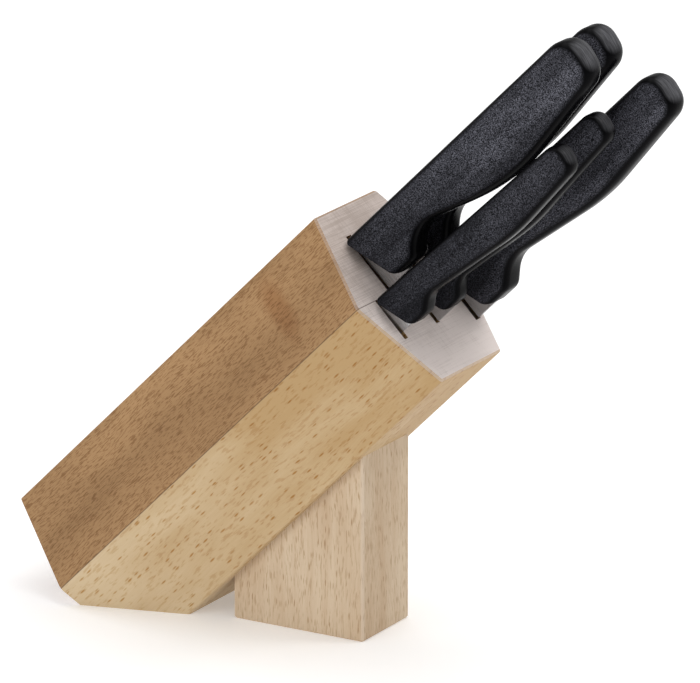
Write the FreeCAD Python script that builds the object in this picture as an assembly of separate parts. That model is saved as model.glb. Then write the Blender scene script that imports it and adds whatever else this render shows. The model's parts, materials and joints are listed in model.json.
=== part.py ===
"""Knife block with five knives.

A beech block of hexagonal section leans on a beech foot.  Two half-hexagon
boards are glued together on the block's mid-plane, and the knife slots are
saw kerfs cut into them from the glued faces.  Each knife is one steel
stamping, blade and tang, with a plastic handle moulded over the tang.

Row frame: +Z up, the floor at Z = 0, the origin at the centre of the foot's
underside, and the block leaning up towards +X.

Block frame, used while a piece is shaped: X runs up the block's axis from
the line where the underside meets the floor, Y is the row's Y, and Z is
square to the underside, which is Z = 0.
"""
import FreeCAD, Part
import math
import os

# ---- block, mm ----
LEAN = 45.0                # angle between the block's axis and the floor, degrees
BLOCK_LENGTH = 182.0       # lower end to upper end, along the axis
BLOCK_HEIGHT = 76.0        # underside to top flat
FLAT_WIDTH = 44.0          # width of the top flat and of the underside
RIDGE_WIDTH = 74.0         # width over the two side ridges
HEEL_CUT = 29.0            # how much of the lower end's height the floor cut takes
RIDGE_ROUND = 4.5          # rounding of the two side ridges
EDGE_ROUND = 1.4           # rounding of the four long edges of the flats
END_ROUND = 0.8            # arris of the upper end
MARGIN = 20.0              # how far a cutting tool runs past what it cuts
NEAR = 0.01                # two places closer than this are the same

# ---- foot and its dowels, mm ----
FOOT_LENGTH = 56.0         # along X
FOOT_WIDTH = 34.0          # along Y
FOOT_FRONT = 72.0          # from the underside's floor line to the foot's front face
FOOT_ROUND = 1.4           # rounding of the foot's upright edges and floor edges
DOWEL_RADIUS = 4.0
DOWEL_IN_BLOCK = 11.0      # depth of the dowel in the block
DOWEL_IN_FOOT = 15.0       # depth of the dowel in the foot
DOWEL_INSET = 20.0         # lower dowel's axis from the lower end of the glued joint
DOWEL_WALL = 1.5           # wood left between the upper dowel's hole and the foot's front face
DOWEL_END_SPACE = 1.0      # glue space past each end of a dowel
DOWEL_CHAMFER = 0.8

# ---- slots, mm ----
WIDE_SLOT = 3.4            # kerf width for the three large knives
NARROW_SLOT = 2.4          # kerf width for the two small knives
UPPER_SLOT_DEPTH = 26.4    # kerfs of the upper half, from the glued face
LOWER_WIDE_DEPTH = 23.4    # wide kerf of the lower half
LOWER_NARROW_DEPTH = 17.8  # narrow kerfs of the lower half
SIDE_WALL = 2.6            # wood left beside the deepest outer kerf
BLADE_SIDE_GAP = 0.3       # from the blade to the kerf wall that it leans on

# ---- blades, mm ----
WIDE_BLADE = 2.0           # thickness of a large blade
NARROW_BLADE = 1.4         # thickness of a small blade
EDGE_THICKNESS = 0.3       # thickness left at the cutting edge
GRIND_SHARE = 0.75         # share of the blade's depth that tapers to the edge
WIDE_STEP = 1.7            # from a large handle's spine down to the blade's spine
NARROW_STEP = 1.6          # the same on a small knife
ROOT_DEPTH = 3.0           # full-depth blade inside the nose
TIP_SHARE = 0.30           # share of the blade's length in which the edge sweeps up to the tip
TIP_BELLY_PLACE = 0.42     # a point of that sweep: share of its run from the tip's end
TIP_BELLY_RISE = 0.30      # and share of its rise
SPINE_TURN = 0.7           # share of the sweep's run in which the spine falls to the tip
WAVY_SHARE = 0.72          # share of a wavy blade's length that has teeth
TANG_STEP = 2.0            # from the blade's spine down to the tang's top
TANG_SHARE = 0.62          # share of the handle's length that the tang fills

# ---- handles, mm ----
NOSE_SLOPE = 21.0          # lean of the nose face back from the spine, degrees
WIDE_HANDLE = 15.0         # thickness of a large handle
NARROW_HANDLE = 11.0       # thickness of a small handle
WIDE_RIM = 4.0             # rounding round the large handle's sides
NARROW_RIM = 3.0           # rounding round the small handle's sides
GUARD_ROUND = 5.0          # rounding behind the finger guard
NECK_ROUND = 14.0          # hollow of the finger rest
BELLY_ROUND = 90.0         # swell of the grip
NOSE_CORNER_SPARE = 0.3    # the guard's front corner is this much rounder than the rim
BUTT_SLANT = 9.0           # lean of the butt's end back from the spine corner, degrees


class Handle:
    """Sizes of one handle's side outline, depths measured down from the spine."""

    def __init__(self, length, thickness, rim, guard, guard_length, neck, neck_at,
                 belly, belly_at, butt, butt_round, drop):
        self.length = length              # nose to butt, along the spine
        self.thickness = thickness
        self.rim = rim
        self.guard = guard                # depth of the finger guard
        self.guard_length = guard_length  # run of the guard's foot
        self.neck = neck                  # depth at the finger hollow
        self.neck_at = neck_at            # place of the finger hollow
        self.belly = belly                # greatest depth of the grip
        self.belly_at = belly_at          # place of the greatest depth
        self.butt = butt                  # depth of the butt's lower corner
        self.butt_round = butt_round      # rounding of the butt's two corners
        self.drop = drop                  # fall of the spine towards the butt


class Knife:
    """One knife: its place in the block, its blade and its handle."""

    def __init__(self, name, place, upper, wide, nose_gap, blade_length, blade_depth,
                 edge_clearance, tip_drop, tooth_pitch, tooth_depth, handle):
        self.name = name
        self.place = place                    # place across the block, in slot pitches
        self.upper = upper                    # True for a kerf of the upper half
        self.wide = wide                      # True for a wide kerf and a large blade
        self.nose_gap = nose_gap              # handle's nose to the block's upper end
        self.blade_length = blade_length      # nose to tip
        self.blade_depth = blade_depth        # spine to edge
        self.edge_clearance = edge_clearance  # cutting edge above the kerf's floor
        self.tip_drop = tip_drop              # tip's fall below the spine, share of the depth
        self.tooth_pitch = tooth_pitch        # 0 for a plain edge
        self.tooth_depth = tooth_depth
        self.handle = handle


CHEFS_HANDLE = Handle(129.5, WIDE_HANDLE, WIDE_RIM, 22.8, 10.5, 13.8, 27.0,
                      26.6, 71.0, 19.4, 8.8, 0.0)
LONG_HANDLE = Handle(127.0, WIDE_HANDLE, WIDE_RIM, 23.4, 10.5, 15.8, 28.5,
                     22.8, 75.0, 17.4, 7.8, 0.0)
TOMATO_HANDLE = Handle(110.0, NARROW_HANDLE, NARROW_RIM, 18.2, 7.5, 13.0, 19.5,
                       16.8, 58.0, 12.8, 5.6, 0.4)
PARING_HANDLE = Handle(103.0, NARROW_HANDLE, NARROW_RIM, 16.4, 7.5, 12.2, 19.5,
                       17.6, 64.0, 15.0, 5.6, 2.8)

KNIVES = [
    Knife("paring_knife", -2, False, False, 1.4, 80.0, 13.4, 2.8, 0.15, 0.0, 0.0, PARING_HANDLE),
    Knife("chefs_knife", -1, True, True, 0.5, 150.0, 21.4, 2.0, 0.45, 0.0, 0.0, CHEFS_HANDLE),
    Knife("tomato_knife", 0, False, False, 0.8, 110.0, 16.8, 0.3, 0.50, 4.0, 0.9, TOMATO_HANDLE),
    Knife("bread_knife", 1, True, True, 0.5, 165.0, 21.4, 3.2, 0.55, 7.0, 1.2, LONG_HANDLE),
    Knife("carving_knife", 2, False, True, 0.8, 150.0, 21.3, 0.3, 0.25, 0.0, 0.0, LONG_HANDLE),
]

# ---- worked out from the sizes above ----
LEAN_RAD = math.radians(LEAN)
MID_PLANE = BLOCK_HEIGHT / 2
LOWER_END = -HEEL_CUT / math.tan(LEAN_RAD)
UPPER_END = LOWER_END + BLOCK_LENGTH
FOOT_CENTRE = FOOT_FRONT - FOOT_LENGTH / 2


def vec(x, y, z):
    return FreeCAD.Vector(x, y, z)


def to_row(shape):
    """Turn a shape from the block frame into the row frame."""
    lean = FreeCAD.Rotation(vec(0, 1, 0), -LEAN)
    placed = shape.copy()
    placed.Placement = FreeCAD.Placement(vec(-FOOT_CENTRE, 0, 0), lean).multiply(shape.Placement)
    return placed


def half_width(height):
    """Half the block's width at a height below or at the ridges, block frame."""
    return FLAT_WIDTH / 2 + (RIDGE_WIDTH - FLAT_WIDTH) / 2 * height / MID_PLANE


def slot_width(knife):
    return WIDE_SLOT if knife.wide else NARROW_SLOT


def blade_thickness(knife):
    return WIDE_BLADE if knife.wide else NARROW_BLADE


def spine_step(knife):
    return WIDE_STEP if knife.wide else NARROW_STEP


def slot_depth(knife):
    if knife.upper:
        return UPPER_SLOT_DEPTH
    return LOWER_WIDE_DEPTH if knife.wide else LOWER_NARROW_DEPTH


def slot_floor(knife):
    """Height of the kerf's lower wall, on which a blade's edge would rest."""
    return MID_PLANE if knife.upper else MID_PLANE - slot_depth(knife)


def slot_pitch():
    """The outer kerfs leave SIDE_WALL of wood where the lower wide kerf is deepest."""
    widest_reach = WIDE_SLOT - BLADE_SIDE_GAP - WIDE_BLADE / 2
    return (half_width(MID_PLANE - LOWER_WIDE_DEPTH) - SIDE_WALL - widest_reach) / 2


def blade_y(knife):
    """Y of the blade's mid-thickness."""
    return knife.place * slot_pitch()


def handle_spine(knife):
    """Height of the handle's spine above the underside, block frame."""
    return slot_floor(knife) + knife.edge_clearance + knife.blade_depth + spine_step(knife)


def hexagon_prism():
    """The whole block before it is split, with its edges rounded, block frame."""
    flat = FLAT_WIDTH / 2
    ridge = RIDGE_WIDTH / 2
    corners = [(-flat, 0.0), (flat, 0.0), (ridge, MID_PLANE),
               (flat, BLOCK_HEIGHT), (-flat, BLOCK_HEIGHT), (-ridge, MID_PLANE)]
    points = [vec(LOWER_END, y, z) for y, z in corners]
    face = Part.Face(Part.makePolygon(points + points[:1]))
    prism = face.extrude(vec(BLOCK_LENGTH, 0, 0))
    ridges = []
    edges = []
    for edge in prism.Edges:
        first, last = edge.Vertexes[0].Point, edge.Vertexes[-1].Point
        if abs(first.x - last.x) < BLOCK_LENGTH / 2:
            continue
        if abs(first.z - MID_PLANE) < NEAR:
            ridges.append(edge)
        else:
            edges.append(edge)
    prism = prism.makeFillet(RIDGE_ROUND, ridges)
    long_edges = []
    for edge in prism.Edges:
        first, last = edge.Vertexes[0].Point, edge.Vertexes[-1].Point
        on_flat = min(abs(first.z), abs(first.z - BLOCK_HEIGHT)) < NEAR
        if abs(first.x - last.x) > BLOCK_LENGTH / 2 and on_flat:
            long_edges.append(edge)
    prism = prism.makeFillet(EDGE_ROUND, long_edges)
    prism = prism.cut(floor_tool())
    return prism.makeChamfer(END_ROUND, end_edges(prism))


def floor_tool():
    """Everything below the floor, block frame."""
    reach = BLOCK_LENGTH + BLOCK_HEIGHT + MARGIN
    tool = Part.makeBox(2 * reach, 2 * reach, reach, vec(-reach, -reach, -reach))
    tool.rotate(vec(0, 0, 0), vec(0, 1, 0), LEAN)
    return tool


def end_edges(prism):
    """Edges round the upper end face."""
    found = []
    for edge in prism.Edges:
        box = edge.BoundBox
        if box.XMin > UPPER_END - NEAR and box.XMax < UPPER_END + NEAR:
            found.append(edge)
    return found


def half_space(upper):
    reach = BLOCK_LENGTH + BLOCK_HEIGHT + MARGIN
    low = MID_PLANE if upper else MID_PLANE - reach
    return Part.makeBox(2 * reach, 2 * reach, reach, vec(-reach, -reach, low))


def kerf(knife):
    """The saw cut for one knife, from the glued face, along the whole block."""
    width = slot_width(knife)
    right = blade_y(knife) + blade_thickness(knife) / 2 + BLADE_SIDE_GAP
    depth = slot_depth(knife)
    low = MID_PLANE if knife.upper else MID_PLANE - depth
    start = LOWER_END - MARGIN
    return Part.makeBox(BLOCK_LENGTH + 2 * MARGIN, width, depth, vec(start, right - width, low))


def dowel_places():
    """Places of the two dowels along the glued joint, block frame."""
    joint_start = (FOOT_FRONT - FOOT_LENGTH) / math.cos(LEAN_RAD)
    hole_run = (DOWEL_IN_FOOT + DOWEL_END_SPACE) * math.tan(LEAN_RAD) + DOWEL_RADIUS
    highest = (FOOT_FRONT - DOWEL_WALL) / math.cos(LEAN_RAD) - hole_run
    return {"foot_dowel_low": joint_start + DOWEL_INSET, "foot_dowel_high": highest}


def dowel(place):
    length = DOWEL_IN_BLOCK + DOWEL_IN_FOOT
    pin = Part.makeCylinder(DOWEL_RADIUS, length, vec(place, 0, -DOWEL_IN_FOOT))
    rims = [edge for edge in pin.Edges if isinstance(edge.Curve, Part.Circle)]
    return pin.makeChamfer(DOWEL_CHAMFER, rims)


def dowel_hole(place):
    """Hole for a dowel, with glue space past both ends."""
    length = DOWEL_IN_BLOCK + DOWEL_IN_FOOT + 2 * DOWEL_END_SPACE
    return Part.makeCylinder(DOWEL_RADIUS, length, vec(place, 0, -DOWEL_IN_FOOT - DOWEL_END_SPACE))


def block_half(upper):
    half = hexagon_prism().common(half_space(upper))
    for knife in KNIVES:
        if knife.upper == upper:
            half = half.cut(kerf(knife))
    if not upper:
        for place in dowel_places().values():
            half = half.cut(dowel_hole(place))
    return to_row(half)


def foot():
    """Upright beech foot under the block, its top cut to the block's lean."""
    height = FOOT_FRONT * math.tan(LEAN_RAD) + MARGIN
    blank = Part.makeBox(FOOT_LENGTH, FOOT_WIDTH, height, vec(-FOOT_LENGTH / 2, -FOOT_WIDTH / 2, 0))
    upright = []
    for edge in blank.Edges:
        if edge.BoundBox.ZLength > height / 2:
            upright.append(edge)
    blank = blank.makeFillet(FOOT_ROUND, upright)
    floor_edges = [edge for edge in blank.Edges if edge.BoundBox.ZMax < NEAR]
    blank = blank.makeChamfer(END_ROUND, floor_edges)
    reach = BLOCK_LENGTH + BLOCK_HEIGHT
    above = to_row(Part.makeBox(2 * reach, reach, reach, vec(-reach, -reach / 2, 0)))
    body = blank.cut(above)
    for place in dowel_places().values():
        body = body.cut(to_row(dowel_hole(place)))
    return body


def upright_edge_at(solid, corner):
    """The edge across the thickness that stands at a corner of a side outline."""
    for edge in solid.Edges:
        box = edge.BoundBox
        middle = edge.CenterOfMass
        if box.YLength > 1.0 and math.hypot(middle.x - corner.x, middle.z - corner.z) < NEAR:
            return edge
    raise ValueError("no edge at this corner")


def rounded_prism(corners, thickness, rim):
    """A side outline extruded across Y = 0; corners are (x, z, radius), radius 0 for a sharp one."""
    points = [vec(x, -thickness / 2, z) for x, z, radius in corners]
    body = Part.Face(Part.makePolygon(points + points[:1])).extrude(vec(0, thickness, 0))
    for x, z, radius in corners:
        if radius > 0:
            body = body.makeFillet(radius, [upright_edge_at(body, vec(x, 0, z))])
    rims = [edge for edge in body.Edges if edge.BoundBox.YLength < NEAR]
    return body.makeFillet(rim, rims)


def handle_body(handle):
    """The moulded handle before its tang pocket: nose's spine corner at the origin, butt at +X."""
    nose_run = handle.guard * math.tan(math.radians(NOSE_SLOPE))
    guard_back = nose_run + handle.guard_length
    butt_fall = handle.butt - handle.drop
    slant = math.tan(math.radians(BUTT_SLANT))
    return rounded_prism([
        (0.0, 0.0, 0.0),
        (handle.length, -handle.drop, handle.butt_round),
        (handle.length - butt_fall * slant, -handle.butt, handle.butt_round),
        (handle.belly_at, -handle.belly, BELLY_ROUND),
        (handle.neck_at, -handle.neck, NECK_ROUND),
        (guard_back, -handle.guard, GUARD_ROUND),
        (nose_run, -handle.guard, handle.rim + NOSE_CORNER_SPARE),
    ], handle.thickness, handle.rim)


def wave_cutters(knife):
    """Round cutters for a wavy edge, one for each tooth from the nose towards the tip."""
    radius = (knife.tooth_pitch ** 2 / 4 + knife.tooth_depth ** 2) / (2 * knife.tooth_depth)
    edge = -knife.blade_depth
    cutters = []
    place = -knife.tooth_pitch / 2
    while place > -WAVY_SHARE * knife.blade_length:
        centre = vec(place, -MARGIN / 2, edge + knife.tooth_depth - radius)
        cutters.append(Part.makeCylinder(radius, MARGIN, centre, vec(0, 1, 0)))
        place -= knife.tooth_pitch
    return cutters


def grind_tool(knife, side):
    """Wedge that thins one side of the blade towards its edge; side is -1 or 1."""
    full = side * blade_thickness(knife) / 2
    thin = side * EDGE_THICKNESS / 2
    edge = -knife.blade_depth
    shoulder = edge + GRIND_SHARE * knife.blade_depth
    start = -knife.blade_length - MARGIN
    corners = [
        vec(start, full, shoulder), vec(start, thin, edge),
        vec(start, thin, edge - MARGIN), vec(start, full + side * MARGIN, edge - MARGIN),
        vec(start, full + side * MARGIN, shoulder),
    ]
    face = Part.Face(Part.makePolygon(corners + corners[:1]))
    return face.extrude(vec(knife.blade_length + MARGIN, 0, 0))


def blade(knife):
    """Blade and tang in one stamping: spine at Z = 0, tip towards -X, tang towards +X."""
    handle = knife.handle
    thickness = blade_thickness(knife)
    depth = knife.blade_depth
    root = (depth + spine_step(knife)) * math.tan(math.radians(NOSE_SLOPE)) + ROOT_DEPTH
    tang_end = TANG_SHARE * handle.length
    tang_top = -TANG_STEP
    tang_low = -handle.neck + spine_step(knife) + TANG_STEP
    tip = vec(-knife.blade_length, -thickness / 2, -knife.tip_drop * depth)
    sweep_start = vec(-knife.blade_length * (1 - TIP_SHARE), -thickness / 2, -depth)
    sweep_middle = vec(-knife.blade_length * (1 - TIP_BELLY_PLACE * TIP_SHARE), -thickness / 2,
                       -depth + TIP_BELLY_RISE * (1 - knife.tip_drop) * depth)
    spine_turn = vec(-knife.blade_length * (1 - SPINE_TURN * TIP_SHARE), -thickness / 2, 0)
    outline = [
        sweep_start, vec(root, -thickness / 2, -depth), vec(root, -thickness / 2, tang_low),
        vec(tang_end, -thickness / 2, tang_low), vec(tang_end, -thickness / 2, tang_top),
        vec(root, -thickness / 2, tang_top), vec(root, -thickness / 2, 0), spine_turn, tip,
    ]
    sides = [Part.LineSegment(a, b).toShape() for a, b in zip(outline, outline[1:])]
    sides.append(Part.Arc(tip, sweep_middle, sweep_start).toShape())
    body = Part.Face(Part.Wire(sides)).extrude(vec(0, thickness, 0))
    for side in (-1, 1):
        body = body.cut(grind_tool(knife, side))
    if knife.tooth_pitch > 0:
        body = body.cut(wave_cutters(knife))
    body.translate(vec(0, 0, -spine_step(knife)))
    return body


def in_block(knife, shape):
    """Put a blade or handle in its slot and turn it into the row frame."""
    placed = shape.copy()
    placed.translate(vec(UPPER_END + knife.nose_gap, blade_y(knife), handle_spine(knife)))
    return to_row(placed)


def build():
    """Every piece by its node's name."""
    pieces = {
        "block_upper_half": block_half(True),
        "block_lower_half": block_half(False),
        "foot": foot(),
    }
    for name, place in dowel_places().items():
        pieces[name] = to_row(dowel(place))
    for knife in KNIVES:
        steel = blade(knife)
        grip = handle_body(knife.handle).cut(steel)
        pieces[knife.name + "_blade"] = in_block(knife, steel)
        pieces[knife.name + "_handle"] = in_block(knife, grip)
    return pieces


def main():
    os.makedirs("parts", exist_ok=True)
    for name, shape in build().items():
        if not shape.isValid() or len(shape.Solids) != 1:
            raise ValueError(name + " isn't one valid solid")
        solid = shape.Solids[0]
        solid.exportStep("parts/" + name + ".step")
        print(name, round(solid.Volume, 1), "mm3")


main()
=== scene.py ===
"""Looks of a knife block with five knives, laid out as an add-on and run as a script.

Row frame, metres: +Z up, the floor at Z = 0, the block leaning up towards +X.
The block, its foot, the dowels and the blades are the CAD's own nodes with a
worked finish.  The five moulded handles are made here, each in the place of
its CAD node.
"""
import json
import math

import bmesh
import bpy
from mathutils import Matrix, Vector


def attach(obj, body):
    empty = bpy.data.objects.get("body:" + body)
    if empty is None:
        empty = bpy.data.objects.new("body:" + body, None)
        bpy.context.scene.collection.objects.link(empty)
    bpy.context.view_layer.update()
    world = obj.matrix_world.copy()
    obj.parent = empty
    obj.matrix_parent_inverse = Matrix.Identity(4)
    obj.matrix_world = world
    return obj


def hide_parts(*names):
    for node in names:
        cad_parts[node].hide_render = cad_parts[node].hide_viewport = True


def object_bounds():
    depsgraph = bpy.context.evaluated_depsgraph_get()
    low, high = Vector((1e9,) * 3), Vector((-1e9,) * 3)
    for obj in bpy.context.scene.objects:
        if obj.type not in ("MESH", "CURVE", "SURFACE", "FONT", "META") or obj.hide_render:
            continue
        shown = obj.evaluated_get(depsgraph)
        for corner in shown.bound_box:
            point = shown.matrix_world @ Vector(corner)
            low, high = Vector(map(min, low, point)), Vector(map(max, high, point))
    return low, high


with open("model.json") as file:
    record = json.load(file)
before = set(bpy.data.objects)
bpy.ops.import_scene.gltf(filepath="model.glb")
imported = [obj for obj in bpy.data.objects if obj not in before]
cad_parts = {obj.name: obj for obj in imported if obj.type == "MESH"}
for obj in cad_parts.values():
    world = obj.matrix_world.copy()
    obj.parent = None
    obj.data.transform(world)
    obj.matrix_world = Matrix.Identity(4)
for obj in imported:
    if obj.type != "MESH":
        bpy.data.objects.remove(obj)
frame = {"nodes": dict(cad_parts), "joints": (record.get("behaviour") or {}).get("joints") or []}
CAD_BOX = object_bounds()

bl_info = {
    "name": "Knife block",
    "version": (1, 0, 0),
    "blender": (4, 5, 0),
    "location": "View3D > Sidebar > Knife block",
    "description": "Finishes a packed knife block and makes its moulded handles",
    "category": "Object",
}

MM = 0.001
AXIS = Vector(frame["joints"][0]["axis"]).normalized()  # up the block and out of its slots
LEAN = math.atan2(AXIS.z, AXIS.x)
TO_BLOCK = Matrix.Rotation(LEAN, 4, "Y")                # row frame to block frame
TO_ROW = TO_BLOCK.inverted()
X_WAY, Y_WAY, Z_WAY = (1, 0, 0), (0, 1, 0), (0, 0, 1)

UPPER_HALF = "block_upper_half"
LOWER_HALF = "block_lower_half"
DOWELS = ("foot_dowel_low", "foot_dowel_high")
LARGE_KNIVES = ("chefs_knife", "bread_knife", "carving_knife")
SMALL_KNIVES = ("tomato_knife", "paring_knife")

MIX_A, MIX_B, MIX_RESULT = 6, 7, 2                      # colour sockets of a Mix node


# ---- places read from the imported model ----

def block_span(node):
    """Lowest and highest corner of a CAD node in the block frame."""
    places = [TO_BLOCK @ v.co for v in frame["nodes"][node].data.vertices]
    low = Vector([min(p[i] for p in places) for i in range(3)])
    high = Vector([max(p[i] for p in places) for i in range(3)])
    return low, high


# ---- sizes and colours a user would change ----

def distance(name, default, description):
    return bpy.props.FloatProperty(name=name, default=default, description=description,
                                   unit="LENGTH", subtype="DISTANCE", min=0.0)


def share(name, default, description):
    return bpy.props.FloatProperty(name=name, default=default, description=description,
                                   subtype="FACTOR", min=0.0, max=1.0)


def colour(name, default, description):
    return bpy.props.FloatVectorProperty(name=name, default=default, description=description,
                                         subtype="COLOR", size=3, min=0.0, max=1.0)


class KnifeBlockWood(bpy.types.PropertyGroup):
    """Colours of the beech and sizes of its figure."""

    upper_light: colour("Upper board, light", (0.440, 0.258, 0.117),
                        "Light tone of the upper board")
    upper_dark: colour("Upper board, dark", (0.275, 0.150, 0.060),
                       "Dark tone of the upper board")
    lower_light: colour("Lower board, light", (0.62, 0.480, 0.300),
                        "Light tone of the lower board")
    lower_dark: colour("Lower board, dark", (0.46, 0.300, 0.138),
                       "Dark tone of the lower board")
    foot_light: colour("Foot, light", (0.665, 0.535, 0.385), "Light tone of the foot")
    foot_dark: colour("Foot, dark", (0.50, 0.35, 0.215), "Dark tone of the foot")
    end_light: colour("End grain, light", (1.00, 0.89, 0.84), "Light tone of sawn end grain")
    end_dark: colour("End grain, dark", (0.50, 0.41, 0.36), "Dark tone of sawn end grain")
    patch: colour("Patch", (0.80, 0.68, 0.56), "Tint of the patch in the upper board's figure")
    # painted highlight on the foot's rounded vertical edges
    highlighted: colour("Edge highlight", (0.86, 0.74, 0.62), "Tone of the foot's highlit edges")
    glue: colour("Glue line", (0.10, 0.05, 0.025), "Colour of the glued joint")
    glue_width: distance("Glue line width", 0.35 * MM, "Width of the glued joint's dark line")
    gloss: share("Gloss", 0.30, "Strength of the oiled surface's shine")


class KnifeBlockMetal(bpy.types.PropertyGroup):
    """Finish of the blades."""

    steel: colour("Steel", (0.50, 0.50, 0.505), "Colour of the blades")
    lines: colour("Grinding lines", (0.27, 0.27, 0.28), "Colour of the deepest lines")
    roughness: share("Roughness", 0.24, "Roughness of the ground blade")
    line_spacing: distance("Line spacing", 0.22 * MM, "Spacing of the grinding lines")


class KnifeBlockHandles(bpy.types.PropertyGroup):
    """Colours and sizes of the moulded handles."""

    black: colour("Rim", (0.0025, 0.0025, 0.003), "Colour of the smooth rim")
    panel_dark: colour("Panel, dark", (0.004, 0.004, 0.005), "Hollows of the grained panel")
    panel_light: colour("Panel, light", (0.170, 0.172, 0.205), "Peaks of the grained panel")
    grain_size: distance("Grain size", 0.33 * MM, "Size of the panel's moulded grain")
    shine: share("Shine", 0.025, "Strength of the plastic's reflections")
    large_rim: distance("Large rim", 4.0 * MM, "Rounding round a large handle's sides")
    small_rim: distance("Small rim", 3.0 * MM, "Rounding round a small handle's sides")
    nose_rim: distance("Nose rim", 1.2 * MM, "Rounding of the nose face's sides")
    crown: distance("Crown", 0.25 * MM, "Rise of the side panel from its rim to its middle")
    # painted highlight on the butt's end, streaked with fine lines
    butt_highlight: colour("Butt highlight", (0.135, 0.135, 0.145), "Rim's tone where the butt is rubbed")


class KnifeBlockStage(bpy.types.PropertyGroup):
    """Camera, floor and lights."""

    azimuth: bpy.props.FloatProperty(
        name="Azimuth", default=math.radians(30.43), subtype="ANGLE",
        description="Camera's place round the object, 0 looking along +Y")
    elevation: bpy.props.FloatProperty(
        name="Elevation", default=math.radians(17.02), subtype="ANGLE",
        description="Camera's height above the horizon")
    range: distance("Distance", 3.0, "From the camera to the point that it looks at")
    lens: bpy.props.FloatProperty(name="Lens", default=411.43, min=1.0, unit="CAMERA",
                                  description="Focal length in millimetres")
    aim: bpy.props.FloatVectorProperty(
        name="Aim", default=(-0.0163, 0.0489, 0.0920), size=3, subtype="TRANSLATION",
        unit="LENGTH", description="Point that the camera looks at")
    floor: colour("Floor", (0.93, 0.93, 0.93), "Colour of the studio floor")
    mottle: colour("Floor mottle", (0.85, 0.85, 0.86), "Colour of the floor's faint mottle")
    floor_size: distance("Floor size", 14.0, "Side of the studio floor")
    glow: bpy.props.FloatProperty(name="Floor glow", default=0.24, min=0.0,
                                  description="Light given off by the light-table floor")
    sky: bpy.props.FloatProperty(name="Surround", default=0.52, min=0.0,
                                 description="Strength of the white surround")


# ---- material nodes ----

class Nodes:
    """Builds one material's node tree, a line for each node."""

    def __init__(self, name):
        self.material = bpy.data.materials.new(name)
        self.material.use_nodes = True
        self.tree = self.material.node_tree
        self.tree.nodes.clear()
        self.output = self.tree.nodes.new("ShaderNodeOutputMaterial")
        self.shader = self.tree.nodes.new("ShaderNodeBsdfPrincipled")
        self.link(self.shader.outputs["BSDF"], self.output.inputs["Surface"])
        self.place = self.tree.nodes.new("ShaderNodeTexCoord")

    def link(self, source, socket):
        self.tree.links.new(source, socket)

    def feed(self, socket, value):
        """Link a socket, or set a plain value on it."""
        if isinstance(value, bpy.types.NodeSocket):
            self.link(value, socket)
        else:
            socket.default_value = value

    def mapped(self, source, rotation=(0, 0, 0), scale=(1, 1, 1), location=(0, 0, 0)):
        node = self.tree.nodes.new("ShaderNodeMapping")
        self.link(source, node.inputs["Vector"])
        node.inputs["Location"].default_value = location
        node.inputs["Rotation"].default_value = rotation
        node.inputs["Scale"].default_value = scale
        return node.outputs["Vector"]

    def noise_node(self, source, detail=2.0, roughness=0.5):
        node = self.tree.nodes.new("ShaderNodeTexNoise")
        self.link(source, node.inputs["Vector"])
        node.inputs["Scale"].default_value = 1.0
        node.inputs["Detail"].default_value = detail
        node.inputs["Roughness"].default_value = roughness
        return node

    def noise(self, source, **settings):
        return self.noise_node(source, **settings).outputs["Fac"]

    def noise_vector(self, source):
        return self.noise_node(source).outputs["Color"]

    def cells(self, source):
        """Distance to the nearest cell's point, and that cell's own random value."""
        node = self.tree.nodes.new("ShaderNodeTexVoronoi")
        self.link(source, node.inputs["Vector"])
        node.inputs["Scale"].default_value = 1.0
        chance = self.tree.nodes.new("ShaderNodeSeparateColor")
        self.link(node.outputs["Color"], chance.inputs["Color"])
        return node.outputs["Distance"], chance.outputs["Red"]

    def ramp(self, value, low, high, to_low=0.0, to_high=1.0, smooth=True):
        node = self.tree.nodes.new("ShaderNodeMapRange")
        node.interpolation_type = "SMOOTHSTEP" if smooth else "LINEAR"
        self.feed(node.inputs["Value"], value)
        node.inputs["From Min"].default_value = low
        node.inputs["From Max"].default_value = high
        node.inputs["To Min"].default_value = to_low
        node.inputs["To Max"].default_value = to_high
        return node.outputs["Result"]

    def math(self, operation, first, second=0.0):
        node = self.tree.nodes.new("ShaderNodeMath")
        node.operation = operation
        self.feed(node.inputs[0], first)
        self.feed(node.inputs[1], second)
        return node.outputs["Value"]

    def vector_math(self, operation, first, second):
        node = self.tree.nodes.new("ShaderNodeVectorMath")
        node.operation = operation
        self.feed(node.inputs[0], first)
        self.feed(node.inputs[1], second)
        return node.outputs["Vector"]

    def dot(self, first, second):
        """How far one vector goes along another."""
        node = self.tree.nodes.new("ShaderNodeVectorMath")
        node.operation = "DOT_PRODUCT"
        self.feed(node.inputs[0], first)
        node.inputs[1].default_value = second
        return node.outputs["Value"]

    def length(self, vector):
        node = self.tree.nodes.new("ShaderNodeVectorMath")
        node.operation = "LENGTH"
        self.link(vector, node.inputs[0])
        return node.outputs["Value"]

    def mix(self, factor, first, second, blend="MIX"):
        node = self.tree.nodes.new("ShaderNodeMix")
        node.data_type = "RGBA"
        node.blend_type = blend
        self.feed(node.inputs["Factor"], factor)
        self.feed(node.inputs[MIX_A], rgba(first))
        self.feed(node.inputs[MIX_B], rgba(second))
        return node.outputs[MIX_RESULT]

    def bump(self, height, depth, strength):
        """Raise the surface's shading by a height from 0 to 1 times depth in metres."""
        node = self.tree.nodes.new("ShaderNodeBump")
        node.inputs["Strength"].default_value = strength
        node.inputs["Distance"].default_value = depth
        self.link(height, node.inputs["Height"])
        self.link(node.outputs["Normal"], self.shader.inputs["Normal"])


def rgba(value):
    """A colour with its alpha; a socket as it is."""
    if isinstance(value, bpy.types.NodeSocket):
        return value
    return (*value, 1.0)


def dress(objects, material):
    """Give every object the one material."""
    for piece in objects:
        piece.data.materials.clear()
        piece.data.materials.append(material)


# ---- beech ----

SWAY = 7.0                           # how far the grain wanders off straight, mm
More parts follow.
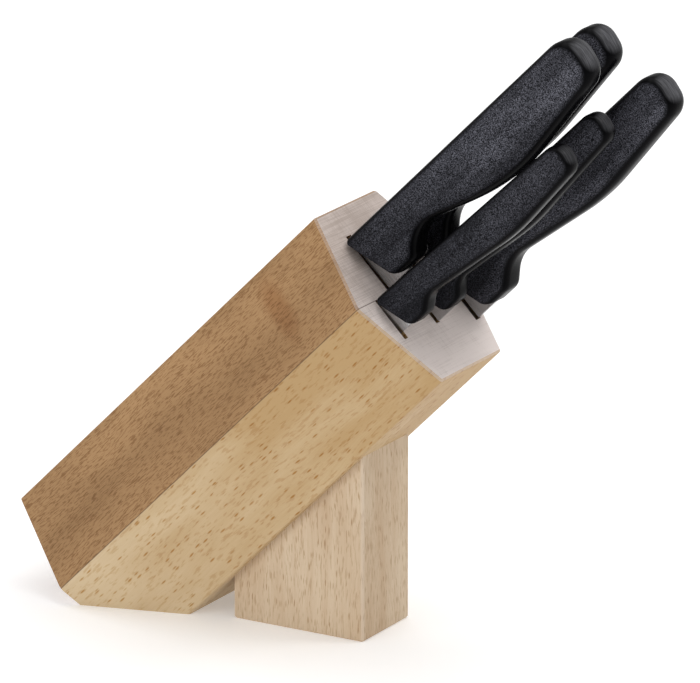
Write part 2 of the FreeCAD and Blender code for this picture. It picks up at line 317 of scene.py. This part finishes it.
# shares of the long grain's dark tone
RING_SHARE, FIGURE_SHARE, FIBRE_SHARE = 0.38, 0.42, 0.20
# shares of the end grain's dark tone, and the painted light taken off at its underside and the
# painted shade added at its top
PORE_SHARE, SAW_SHARE, CROSS_SHARE, CLOUD_SHARE = 0.20, 0.27, 0.24, 0.22
END_PAINTED_LIGHT, END_PAINTED_SHADE = -0.34, 0.58
FLECK_SOFTNESS = 0.12                # how gently a small fleck fades in
WOOD_RELIEF = 0.04 * MM
WOOD_RELIEF_STRENGTH = 0.4


class Ray:
    """Flecks that the wood's rays draw on a face; size is length, width and run in mm."""

    def __init__(self, size, share, tint, dash_strength, dash_from=0.54, spot_edge=0.38):
        self.length, self.width, self.run = size
        self.share = share                    # share of cells that hold a large fleck
        self.tint = tint
        self.dash_strength = dash_strength    # strength of the small flecks between them
        self.dash_from = dash_from            # noise level from which a small fleck shows
        self.spot_edge = spot_edge            # where a large fleck has faded out


class Patch:
    """A darker patch in the figure: its middle, half sizes and how far it bends, in mm."""

    def __init__(self, middle, reach, bend):
        self.middle = middle
        self.reach = reach
        self.bend = bend


def in_millimetres(n, turn):
    """Object coordinates in millimetres, turned about Y."""
    return n.mapped(n.place.outputs["Object"], rotation=(0, turn, 0),
                    scale=(1 / MM, 1 / MM, 1 / MM))


def weighted_sum(n, parts):
    """Sum of each value times its share."""
    total = 0.0
    for value, weight in parts:
        total = n.math("ADD", n.math("MULTIPLY", value, weight), total)
    return total


def patch_mask(n, along, patch):
    """How strongly the patch shows, from 0 to nearly 1."""
    moved = n.vector_math("SUBTRACT", along, patch.middle)
    bent = n.noise_vector(n.mapped(along, scale=(0.03, 0.03, 0.03)))
    moved = n.vector_math("ADD", moved, n.vector_math("MULTIPLY", bent, (patch.bend, 0.0, 0.0)))
    away = n.vector_math("MULTIPLY", moved, [1 / size for size in patch.reach])
    return n.ramp(n.length(away), 0.30, 1.0, 0.95, 0.0)


def fleck_mask(n, grain, ray):
    """Where a large or a small fleck shows."""
    cell = (1 / ray.length, 1 / ray.width, 1 / ray.run)
    spot, chance = n.cells(n.mapped(grain, scale=cell))
    rare = 1.0 - ray.share
    large = n.math("MULTIPLY", n.ramp(spot, 0.15, ray.spot_edge, 1.0, 0.0),
                   n.ramp(chance, rare - 0.02, rare + 0.30, 0.0, 1.0))
    dash = n.noise(n.mapped(grain, scale=(0.9 / ray.length, 0.95 / ray.width, 0.9 / ray.run),
                            location=(3.1, 7.7, 1.9)), detail=2.5, roughness=0.55)
    small = n.ramp(dash, ray.dash_from, ray.dash_from + FLECK_SOFTNESS, 0.0, ray.dash_strength)
    return n.math("MAXIMUM", large, small)


def sawn_end(n, along, wood):
    """Colour of the sawn end grain, with painted light towards the block's underside and painted
    shade towards its top.
    """
    pores = n.noise(n.mapped(along, scale=(0.4, 3.2, 3.2)), detail=3.0, roughness=0.7)
    saw = n.noise(n.mapped(along, scale=(0.1, 0.035, 2.2)), detail=2.0, roughness=0.7)
    cross = n.noise(n.mapped(along, scale=(0.1, 2.0, 0.05)), detail=2.0, roughness=0.7)
    cloud = n.noise(n.mapped(along, scale=(0.02, 0.09, 0.09)), detail=2.0)
    worn = weighted_sum(n, (
        (n.ramp(pores, 0.35, 0.75), PORE_SHARE), (n.ramp(saw, 0.40, 0.70), SAW_SHARE),
        (n.ramp(cross, 0.46, 0.74), CROSS_SHARE), (n.ramp(cloud, 0.35, 0.70), CLOUD_SHARE)))
    low = block_span(LOWER_HALF)[0].z / MM
    high = block_span(UPPER_HALF)[1].z / MM
    # painted light at the end face's underside and painted shade at its top
    painted_shading = n.ramp(n.dot(along, Z_WAY), low, high, END_PAINTED_LIGHT, END_PAINTED_SHADE)
    return n.mix(n.math("ADD", worn, painted_shading), wood.end_light, wood.end_dark)


def glue_mask(n, along, glue_at, wood):
    """The dark line at the glued joint, glue_at metres up the block frame."""
    off = n.math("ABSOLUTE", n.math("SUBTRACT", n.dot(along, Z_WAY), glue_at / MM))
    half = wood.glue_width / MM / 2
    return n.ramp(off, half * 0.5, half * 1.5, 0.75, 0.0)


def beech(name, light, dark, wood, lean, ray_turn, ray, drift=(0.0, 1.0, 0.0, 0.0),
          painted_edge_highlight=False, patch=None, end_grain=True, glue_at=None):
    """Beech with its grain along the piece's axis.

    lean turns the grain's direction to X; ray_turn turns the rays' direction
    round the grain; drift is where a change of tone along the grain starts and
    ends, in millimetres, and the tone added at each.
    """
    n = Nodes(name)
    along = in_millimetres(n, lean)
    turned = n.mapped(along, rotation=(ray_turn, 0, 0))
    sway = n.noise_vector(n.mapped(turned, scale=(0.012, 0.03, 0.03)))
    offset = n.vector_math("MULTIPLY", n.vector_math("SUBTRACT", sway, (0.5, 0.5, 0.5)),
                           (0.0, SWAY, SWAY))
    grain = n.vector_math("ADD", turned, offset)

    rings = n.noise(n.mapped(grain, scale=(0.006, 0.03, 0.28)), detail=3.0, roughness=0.6)
    figure = n.noise(n.mapped(grain, scale=(0.016, 0.05, 0.05)), detail=2.0)
    fibres = n.noise(n.mapped(grain, scale=(0.07, 2.6, 2.6)), detail=3.0, roughness=0.65)
    tone = weighted_sum(n, (
        (n.ramp(rings, 0.30, 0.70), RING_SHARE), (n.ramp(figure, 0.30, 0.72), FIGURE_SHARE),
        (n.ramp(fibres, 0.25, 0.75), FIBRE_SHARE)))
    tone = n.math("ADD", tone, n.ramp(n.dot(along, X_WAY), *drift, smooth=False))
    face = n.mix(tone, light, dark)
    if patch is not None:
        face = n.mix(patch_mask(n, along, patch), face, wood.patch, "MULTIPLY")
    flecks = fleck_mask(n, grain, ray)
    face = n.mix(flecks, face, ray.tint, "MULTIPLY")

    normal = n.place.outputs["Normal"]
    # painted highlight on the foot's rounded vertical edges, where the normal turns between X
    # and Y
    if painted_edge_highlight:
        turning = n.math("ABSOLUTE", n.math("MULTIPLY", n.dot(normal, X_WAY),
                                            n.dot(normal, Y_WAY)))
        face = n.mix(n.ramp(turning, 0.10, 0.45, 0.0, 0.28), face, wood.highlighted)
    if end_grain:
        facing = n.ramp(n.math("ABSOLUTE", n.dot(normal, AXIS)), 0.60, 0.90)
        face = n.mix(facing, face, sawn_end(n, along, wood))
    if glue_at is not None:
        face = n.mix(glue_mask(n, along, glue_at, wood), face, wood.glue)

    n.link(face, n.shader.inputs["Base Color"])
    n.link(n.ramp(fibres, 0.2, 0.8, 0.50, 0.64), n.shader.inputs["Roughness"])
    n.shader.inputs["Specular IOR Level"].default_value = wood.gloss
    relief = n.math("SUBTRACT", n.math("MULTIPLY", fibres, 0.6), flecks)
    n.bump(relief, WOOD_RELIEF, WOOD_RELIEF_STRENGTH)
    return n.material


# ---- steel ----

GRINDING_DEPTH = 0.030 * MM
GRINDING_STRENGTH = 1.0
LINE_TONE, CLOUD_TONE = 0.60, 0.12   # how far the lines and the clouding darken the steel


def ground_steel(name, metal):
    """Satin steel with fine grinding lines square to the blade's length."""
    n = Nodes(name)
    along = in_millimetres(n, LEAN)
    spacing = metal.line_spacing / MM
    lines = n.noise(n.mapped(along, scale=(1 / spacing, 0.3, 0.03)), detail=3.0, roughness=0.7)
    broad = n.noise(n.mapped(along, scale=(0.05, 0.3, 0.08)), detail=2.0)
    streak = n.math("ADD", n.ramp(lines, 0.30, 0.70, 0.0, LINE_TONE),
                    n.ramp(broad, 0.35, 0.70, 0.0, CLOUD_TONE))
    n.link(n.mix(streak, metal.steel, metal.lines), n.shader.inputs["Base Color"])
    n.shader.inputs["Metallic"].default_value = 1.0
    low, high = metal.roughness - 0.06, metal.roughness + 0.08
    rough = n.math("ADD", n.ramp(lines, 0.2, 0.8, low, high),
                   n.ramp(broad, 0.3, 0.7, -0.02, 0.04))
    n.link(rough, n.shader.inputs["Roughness"])
    n.bump(lines, GRINDING_DEPTH, GRINDING_STRENGTH)
    return n.material


# ---- moulded plastic ----

LARGE_BRIGHTNESS, SMALL_BRIGHTNESS = 1.0, 0.50  # of the large and small handles' panels and painted butt highlights
SPECK_SHARE, CELL_SHARE = 0.70, 0.38  # of fine grain and of whole cells in the panel's tone
SHEEN_RUN = 80.0                      # mm from the nose to where the panel's painted sheen is lightest
SHEEN_AT_NOSE, SHEEN_BEYOND = 0.55, 1.10   # painted sheen: panel's brightness at the nose, and from there on
RIM_ROUGHNESS, PANEL_ROUGHNESS = 0.24, 0.52
GRAIN_DEPTH = 0.10 * MM
GRAIN_STRENGTH = 0.8


def moulded_black(name, look, brightness):
    """Black plastic: grained side panels with a painted sheen, a smooth rim where the side turns
    away, and a painted highlight at the butt.
    """
    n = Nodes(name)
    along = in_millimetres(n, LEAN)
    size = look.grain_size / MM
    fine = n.noise(n.mapped(along, scale=(1 / size,) * 3), detail=2.0, roughness=0.6)
    pits, chance = n.cells(n.mapped(along, scale=(1.25 / size,) * 3))
    patch = n.noise(n.mapped(along, scale=(0.025, 0.07, 0.14)), detail=2.0)
    normal = n.place.outputs["Normal"]
    panel = n.ramp(n.math("ABSOLUTE", n.dot(normal, Y_WAY)), 0.62, 0.996)

    speck = weighted_sum(n, ((n.ramp(fine, 0.44, 0.66), SPECK_SHARE),
                             (n.ramp(chance, 0.50, 1.0), CELL_SHARE)))
    nose = block_span(UPPER_HALF)[1].x / MM
    # painted sheen: the panel is drawn dimmer at the nose and lighter towards its middle and
    # butt
    grip = n.ramp(n.dot(along, X_WAY), nose, nose + SHEEN_RUN,
                  SHEEN_AT_NOSE * brightness, SHEEN_BEYOND * brightness)
    speck = n.math("MULTIPLY", speck, grip)
    speck = n.math("MULTIPLY", speck, n.ramp(patch, 0.32, 0.66, 0.50, 1.15))
    grained = n.mix(speck, look.panel_dark, look.panel_light)

    # painted highlight on the butt's end, where the normal faces up the axis, streaked with fine
    # lines
    highlighted = n.ramp(n.dot(normal, AXIS), 0.74, 1.0, 0.0, brightness)
    lines = n.noise(n.mapped(along, scale=(0.15, 2.4, 0.15)), detail=2.0, roughness=0.7)
    highlighted = n.math("MULTIPLY", highlighted, n.ramp(lines, 0.30, 0.75, 0.35, 1.0))
    rim = n.mix(highlighted, look.black, look.butt_highlight)

    n.link(n.mix(panel, rim, grained), n.shader.inputs["Base Color"])
    n.link(n.ramp(panel, 0.0, 1.0, RIM_ROUGHNESS, PANEL_ROUGHNESS),
           n.shader.inputs["Roughness"])
    n.shader.inputs["Specular IOR Level"].default_value = look.shine
    height = n.math("SUBTRACT", fine, n.math("MULTIPLY", pits, 0.5))
    height = n.math("MULTIPLY", height, n.ramp(panel, 0.0, 1.0, 0.15, 1.0))
    n.bump(height, GRAIN_DEPTH, GRAIN_STRENGTH)
    return n.material


# ---- handle shape ----

NOSE_SLOPE = math.radians(21.0)
BUTT_SLANT = math.radians(9.0)
NOSE_ROUND, BELLY_ROUND, THROAT_ROUND = 1.6, 90.0, 5.0  # side view's roundings, mm
LEAST_ROUND = 0.3 * MM
RIM_SHARES = (0.8, 1.0, 1.15, 1.15, 1.0, 1.0)      # rounding of each side, from the spine on
RIM_DEPTHS = (0.62, 0.95, 0.80, 0.75, 0.62, 0.62)  # its reach into half the thickness
RIM_STEPS = 7
CROWN_STEPS = ((0.15, 0.55), (0.30, 0.22), (0.42, 0.06), (0.54, 0.0))  # share of rim, of crown
WELD = 0.001 * MM                    # vertices closer than this become one
CREASE = math.radians(40.0)          # edges sharper than this stay sharp


class Corner:
    """A corner of a handle's side outline, in millimetres from the nose along the spine
    and down from it, with the rounding of its side view."""

    def __init__(self, along, down, rounding, steps):
        self.place = Vector((along * MM, -down * MM))
        self.rounding = rounding * MM
        self.steps = steps


class HandleForm:
    """Side outline of one handle in millimetres, corner by corner from the nose's spine
    corner.  guard, neck, belly and butt are depths below the spine; drop is how far the
    spine falls towards the butt."""

    def __init__(self, length, guard, guard_run, guard_round, neck, neck_at, neck_round,
                 belly, belly_at, butt, butt_round, drop=0.0):
        nose_run = guard * math.tan(NOSE_SLOPE)
        butt_back = (butt - drop) * math.tan(BUTT_SLANT)
        self.corners = [
            Corner(0.0, 0.0, NOSE_ROUND, 5),
            Corner(length, drop, butt_round, 9),
            Corner(length - butt_back, butt, butt_round, 9),
            Corner(belly_at, belly, BELLY_ROUND, 12),
            Corner(neck_at, neck, neck_round, 9),
            Corner(nose_run + guard_run, guard, THROAT_ROUND, 7),
            Corner(nose_run, guard, guard_round, 8),
        ]


CHEFS_FORM = HandleForm(length=129.5, guard=22.8, guard_run=10.5, guard_round=4.3,
                        neck=13.8, neck_at=27.0, neck_round=14.0,
                        belly=26.6, belly_at=71.0, butt=19.4, butt_round=8.8)
LONG_FORM = HandleForm(length=127.0, guard=23.4, guard_run=10.5, guard_round=4.3,
                       neck=15.8, neck_at=28.5, neck_round=14.0,
                       belly=22.8, belly_at=75.0, butt=17.4, butt_round=7.8)
TOMATO_FORM = HandleForm(length=110.0, guard=18.2, guard_run=7.5, guard_round=3.3,
                         neck=13.0, neck_at=19.5, neck_round=8.0,
                         belly=16.8, belly_at=58.0, butt=12.8, butt_round=5.6, drop=0.4)
PARING_FORM = HandleForm(length=103.0, guard=16.4, guard_run=7.5, guard_round=3.3,
                         neck=12.2, neck_at=19.5, neck_round=8.0,
                         belly=17.6, belly_at=64.0, butt=15.0, butt_round=5.6, drop=2.8)
FORMS = {
    "chefs_knife": CHEFS_FORM, "bread_knife": LONG_FORM, "carving_knife": LONG_FORM,
    "tomato_knife": TOMATO_FORM, "paring_knife": PARING_FORM,
}


def outline(form, insets):
    """The side outline drawn in by an inset for each side, corners rounded.

    Gives (place, share of the way round its corner, corner's number) for each point.
    """
    corners = form.corners
    count = len(corners)
    sides = [(corners[(i + 1) % count].place - corners[i].place).normalized()
             for i in range(count)]
    inward = [Vector((side.y, -side.x)) for side in sides]
    points = []
    for i, corner in enumerate(corners):
        before, after = sides[i - 1], sides[i]
        n_before, n_after = inward[i - 1], inward[i]
        lines = Matrix((n_before, n_after))
        drawn = Vector((insets[i - 1], insets[i]))
        place = corner.place + lines.inverted() @ drawn
        turn = math.atan2(after.cross(before), before.dot(after))
        mean = (insets[i - 1] + insets[i]) / 2
        convex = turn > 0
        rounding = corner.rounding - mean if convex else corner.rounding + mean
        rounding = max(rounding, LEAST_ROUND)
        tangent = rounding * math.tan(abs(turn) / 2)
        start = place - before * tangent
        side = n_before if convex else -n_before
        centre = start + side * rounding
        for step in range(corner.steps + 1):
            part = step / corner.steps
            arm = Matrix.Rotation(-turn * part, 2) @ (start - centre)
            points.append((centre + arm, part, i))
    return points


def handle_rings(form, thickness, rim, nose_rim, crown):
    """Rings of points from a handle's mid-plane out to the middle of its side panel."""
    half = thickness / 2
    rims = [rim * part for part in RIM_SHARES] + [nose_rim]
    depths = [half * part for part in RIM_DEPTHS] + [nose_rim]

    def ring(turn, extra, level):
        insets = [width * (1 - math.cos(turn)) + extra for width in rims]
        places = []
        for place, part, i in outline(form, insets):
            depth = depths[i - 1] * (1 - part) + depths[i] * part
            y = half - (depth - crown) * (1 - math.sin(turn)) - level
            places.append(Vector((place.x, y, place.y)))
        return places

    rings = [[Vector((p.x, 0.0, p.z)) for p in ring(0.0, 0.0, 0.0)]]
    for step in range(RIM_STEPS + 1):
        rings.append(ring(math.pi / 2 * step / RIM_STEPS, 0.0, crown))
    for share_in, share_left in CROWN_STEPS:
        rings.append(ring(math.pi / 2, rim * share_in, crown * share_left))
    return rings


def move_to(verts, places):
    for vert, place in zip(verts, places):
        vert.co = place


def grow_ring(bm, loop, edges, places):
    """Extrude a closed loop to new places; gives the new vertices, in order, and edges."""
    grown = bmesh.ops.extrude_edge_only(bm, edges=edges)["geom"]
    fresh = [item for item in grown if isinstance(item, bmesh.types.BMVert)]
    fresh_edges = [item for item in grown if isinstance(item, bmesh.types.BMEdge)
                   and item.verts[0] in fresh and item.verts[1] in fresh]
    partner = {}
    for vert in fresh:
        for edge in vert.link_edges:
            other = edge.other_vert(vert)
            if other in loop:
                partner[other] = vert
    fresh_loop = [partner[vert] for vert in loop]
    move_to(fresh_loop, places)
    return fresh_loop, fresh_edges


def handle_mesh(rings):
    """Half a handle skinned over its rings, then mirrored across its mid-plane."""
    bm = bmesh.new()
    bmesh.ops.create_circle(bm, segments=len(rings[0]), radius=1.0)
    loop, edges = list(bm.verts), list(bm.edges)
    move_to(loop, rings[0])
    for places in rings[1:]:
        loop, edges = grow_ring(bm, loop, edges, places)
    bmesh.ops.contextual_create(bm, geom=edges)
    bmesh.ops.mirror(bm, geom=bm.verts[:] + bm.edges[:] + bm.faces[:], axis="Y",
                     merge_dist=WELD)
    bmesh.ops.remove_doubles(bm, verts=bm.verts[:], dist=WELD)
    bmesh.ops.recalc_face_normals(bm, faces=bm.faces[:])
    return bm


def add_piece(name, bm, smooth_angle):
    """A finished mesh object at the origin."""
    mesh = bpy.data.meshes.new(name)
    bm.to_mesh(mesh)
    bm.free()
    piece = bpy.data.objects.new(name, mesh)
    bpy.context.scene.collection.objects.link(piece)
    mesh.shade_smooth()
    mesh.set_sharp_from_angle(angle=smooth_angle)
    return piece


def add_handles(knives, rim, nose_rim, crown, material):
    """Each knife's handle, where its CAD node is, riding on the knife's body."""
    for knife in knives:
        node = knife + "_handle"
        low, high = block_span(node)
        bm = handle_mesh(handle_rings(FORMS[knife], high.y - low.y, rim, nose_rim, crown))
        nose = Vector((low.x, (low.y + high.y) / 2, high.z))
        bm.transform(TO_ROW @ Matrix.Translation(nose))
        piece = add_piece(knife + "_grip", bm, CREASE)
        dress([piece], material)
        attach(piece, knife)
        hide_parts(node)


# ---- stage ----

OBJECT_MIDDLE = (CAD_BOX[0] + CAD_BOX[1]) / 2
SOFTBOXES = (                        # name, place, size, watts
    ("key_softbox", (-0.05, 0.45, 2.1), (1.8, 1.8), 20.0),
    ("end_softbox", (1.2, 0.7, 1.8), (0.5, 0.5), 8.0),
    ("front_softbox", (-0.7, -2.2, 0.7), (1.4, 1.0), 14.0),
)
FAR_CLIP = 100.0                     # metres that the camera sees
WHITE = (1.0, 1.0, 1.0, 1.0)
MOTTLE_SHARE = 0.02                  # how far the floor's tone turns to its mottle


def place_camera(context, stage):
    turn, rise = stage.azimuth, stage.elevation
    back = Vector((math.sin(turn) * math.cos(rise), -math.cos(turn) * math.cos(rise),
                   math.sin(rise)))
    lens = bpy.data.cameras.new("camera")
    lens.lens = stage.lens
    lens.clip_end = FAR_CLIP
    camera = bpy.data.objects.new("camera", lens)
    camera.location = Vector(stage.aim) + back * stage.range
    camera.rotation_mode = "QUATERNION"
    camera.rotation_quaternion = (-back).to_track_quat("-Z", "Y")
    context.scene.collection.objects.link(camera)
    context.scene.camera = camera


def lay_floor(stage):
    """A pale floor that glows a little, like a light table."""
    bm = bmesh.new()
    bmesh.ops.create_grid(bm, x_segments=2, y_segments=2, size=stage.floor_size / 2)
    floor = add_piece("floor", bm, math.pi)
    paper = Nodes("floor_paper")
    mottle = paper.noise(paper.mapped(paper.place.outputs["Object"], scale=(3, 3, 3)))
    tone = paper.mix(paper.ramp(mottle, 0.3, 0.7, 0.0, MOTTLE_SHARE), stage.floor,
                     stage.mottle)
    paper.link(tone, paper.shader.inputs["Base Color"])
    paper.shader.inputs["Roughness"].default_value = 0.7
    paper.shader.inputs["Emission Color"].default_value = WHITE
    paper.shader.inputs["Emission Strength"].default_value = stage.glow
    paper.shader.inputs["Specular IOR Level"].default_value = 0.2
    dress([floor], paper.material)


def light_room(context, stage):
    """White surround and softboxes that face the object's middle."""
    world = bpy.data.worlds.new("surround")
    world.use_nodes = True
    surround = world.node_tree.nodes["Background"]
    surround.inputs["Color"].default_value = WHITE
    surround.inputs["Strength"].default_value = stage.sky
    context.scene.world = world
    for name, place, size, watts in SOFTBOXES:
        box = bpy.data.lights.new(name, "AREA")
        box.shape = "RECTANGLE"
        box.size, box.size_y = size
        box.energy = watts
        lamp = bpy.data.objects.new(name, box)
        lamp.location = place
        lamp.rotation_mode = "QUATERNION"
        lamp.rotation_quaternion = (OBJECT_MIDDLE - Vector(place)).to_track_quat("-Z", "Y")
        context.scene.collection.objects.link(lamp)


# ---- operators ----

class KNIFEBLOCK_OT_stage(bpy.types.Operator):
    """Set the camera, the pale floor and the soft studio light"""

    bl_idname = "knifeblock.stage"
    bl_label = "Stage"

    def execute(self, context):
        stage = context.scene.knifeblock_stage
        place_camera(context, stage)
        lay_floor(stage)
        light_room(context, stage)
        context.scene.view_settings.view_transform = "Standard"
        return {"FINISHED"}


class KNIFEBLOCK_OT_boards(bpy.types.Operator):
    """Finish the block's two beech boards"""

    bl_idname = "knifeblock.boards"
    bl_label = "Boards"

    def execute(self, context):
        wood = context.scene.knifeblock_wood
        nodes = frame["nodes"]
        glue_at = block_span(UPPER_HALF)[0].z
        fine_ray = Ray(size=(3.2, 0.42, 1.3), share=0.60, tint=(0.52, 0.40, 0.26),
                       dash_strength=0.75, dash_from=0.50)
        patch = Patch(middle=(96.0, -28.0, 90.0), reach=(8.0, 30.0, 19.0), bend=16.0)
        upper = beech("beech_upper", wood.upper_light, wood.upper_dark, wood, LEAN,
                      math.radians(-62), fine_ray, drift=(-40.0, 130.0, 0.08, -0.12),
                      patch=patch, glue_at=glue_at)
        broad_ray = Ray(size=(4.5, 1.00, 2.0), share=0.42, tint=(0.66, 0.45, 0.19),
                        dash_strength=0.36, spot_edge=0.46)
        lower = beech("beech_lower", wood.lower_light, wood.lower_dark, wood, LEAN,
                      math.radians(80), broad_ray, drift=(-40.0, 130.0, -0.25, 0.65),
                      glue_at=glue_at)
        dress([nodes[UPPER_HALF]], upper)
        dress([nodes[LOWER_HALF]], lower)
        return {"FINISHED"}


class KNIFEBLOCK_OT_foot(bpy.types.Operator):
    """Finish the beech foot and its two dowels"""

    bl_idname = "knifeblock.foot"
    bl_label = "Foot and dowels"

    def execute(self, context):
        wood = context.scene.knifeblock_wood
        nodes = frame["nodes"]
        foot_ray = Ray(size=(5.2, 0.42, 1.2), share=0.44, tint=(0.58, 0.45, 0.30),
                       dash_strength=0.50)
        upright = beech("beech_foot", wood.foot_light, wood.foot_dark, wood, math.radians(90),
                        math.radians(45), foot_ray, painted_edge_highlight=True, end_grain=False)
        dowel_ray = Ray(size=(3.0, 0.8, 1.5), share=0.5, tint=(0.64, 0.54, 0.42),
                        dash_strength=0.5)
        pins = beech("beech_dowel", wood.foot_light, wood.foot_dark, wood, -LEAN, 0.0,
                     dowel_ray, end_grain=False)
        dress([nodes["foot"]], upright)
        dress([nodes[name] for name in DOWELS], pins)
        return {"FINISHED"}


class KNIFEBLOCK_OT_blades(bpy.types.Operator):
    """Finish the five steel blades"""

    bl_idname = "knifeblock.blades"
    bl_label = "Blades"

    def execute(self, context):
        steel = ground_steel("ground_steel", context.scene.knifeblock_metal)
        blades = [frame["nodes"][knife + "_blade"] for knife in LARGE_KNIVES + SMALL_KNIVES]
        dress(blades, steel)
        return {"FINISHED"}


class KNIFEBLOCK_OT_large_handles(bpy.types.Operator):
    """Make the three large moulded handles"""

    bl_idname = "knifeblock.large_handles"
    bl_label = "Large handles"

    def execute(self, context):
        look = context.scene.knifeblock_handles
        add_handles(LARGE_KNIVES, look.large_rim, look.nose_rim, look.crown,
                    moulded_black("moulded_black_large", look, LARGE_BRIGHTNESS))
        return {"FINISHED"}


class KNIFEBLOCK_OT_small_handles(bpy.types.Operator):
    """Make the two small moulded handles"""

    bl_idname = "knifeblock.small_handles"
    bl_label = "Small handles"

    def execute(self, context):
        look = context.scene.knifeblock_handles
        add_handles(SMALL_KNIVES, look.small_rim, look.nose_rim, look.crown,
                    moulded_black("moulded_black_small", look, SMALL_BRIGHTNESS))
        return {"FINISHED"}


OPERATORS = (
    KNIFEBLOCK_OT_stage, KNIFEBLOCK_OT_boards, KNIFEBLOCK_OT_foot, KNIFEBLOCK_OT_blades,
    KNIFEBLOCK_OT_large_handles, KNIFEBLOCK_OT_small_handles,
)


class KNIFEBLOCK_PT_panel(bpy.types.Panel):
    """Lists the knife block's operators in the 3D view's sidebar"""

    bl_idname = "KNIFEBLOCK_PT_panel"
    bl_label = "Knife block"
    bl_space_type = "VIEW_3D"
    bl_region_type = "UI"
    bl_category = "Knife block"

    def draw(self, context):
        for operator in OPERATORS:
            self.layout.operator(operator.bl_idname)


SETTINGS = {
    "knifeblock_wood": KnifeBlockWood,
    "knifeblock_metal": KnifeBlockMetal,
    "knifeblock_handles": KnifeBlockHandles,
    "knifeblock_stage": KnifeBlockStage,
}


def register():
    for name, group in SETTINGS.items():
        bpy.utils.register_class(group)
        setattr(bpy.types.Scene, name, bpy.props.PointerProperty(type=group))
    for operator in OPERATORS:
        bpy.utils.register_class(operator)
    bpy.utils.register_class(KNIFEBLOCK_PT_panel)


def unregister():
    bpy.utils.unregister_class(KNIFEBLOCK_PT_panel)
    for operator in reversed(OPERATORS):
        bpy.utils.unregister_class(operator)
    for name, group in SETTINGS.items():
        delattr(bpy.types.Scene, name)
        bpy.utils.unregister_class(group)


def main():
    register()
    bpy.ops.knifeblock.stage()
    bpy.ops.knifeblock.boards()
    bpy.ops.knifeblock.foot()
    bpy.ops.knifeblock.blades()
    bpy.ops.knifeblock.large_handles()
    bpy.ops.knifeblock.small_handles()


if __name__ == "__main__":
    main()
